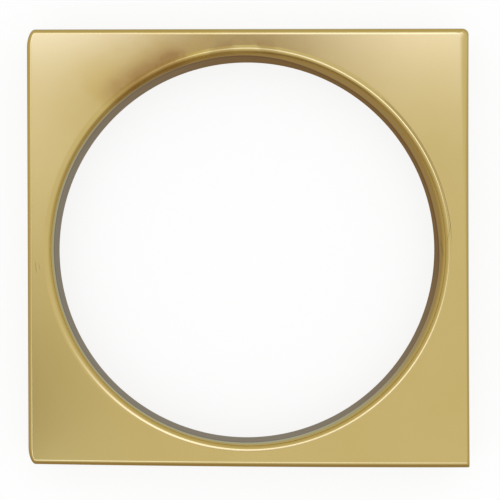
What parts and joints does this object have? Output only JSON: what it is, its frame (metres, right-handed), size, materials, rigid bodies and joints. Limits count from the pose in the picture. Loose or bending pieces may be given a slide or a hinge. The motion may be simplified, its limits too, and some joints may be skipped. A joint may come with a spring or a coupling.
{
  "type": "square escutcheon",
  "caption": "Solid brass square escutcheon plate with rounded front edges and a large round through hole whose lip is rounded; it lies flat against a wall or a door and trims the opening.",
  "frame": {"origin": "middle of the flat back, at the foot of the plate's box", "axes": "+Z out of the face and along the hole, +Y to the plate's top edge, +X to the right as seen from the front"},
  "size_m": [0.0636, 0.063, 0.0063],
  "materials": {
    "polished_brass": "polished by hand, lightly worn"
  },
  "bodies": {
    "root": {"escutcheon_plate": "polished_brass"}
  },
  "joints": []
}
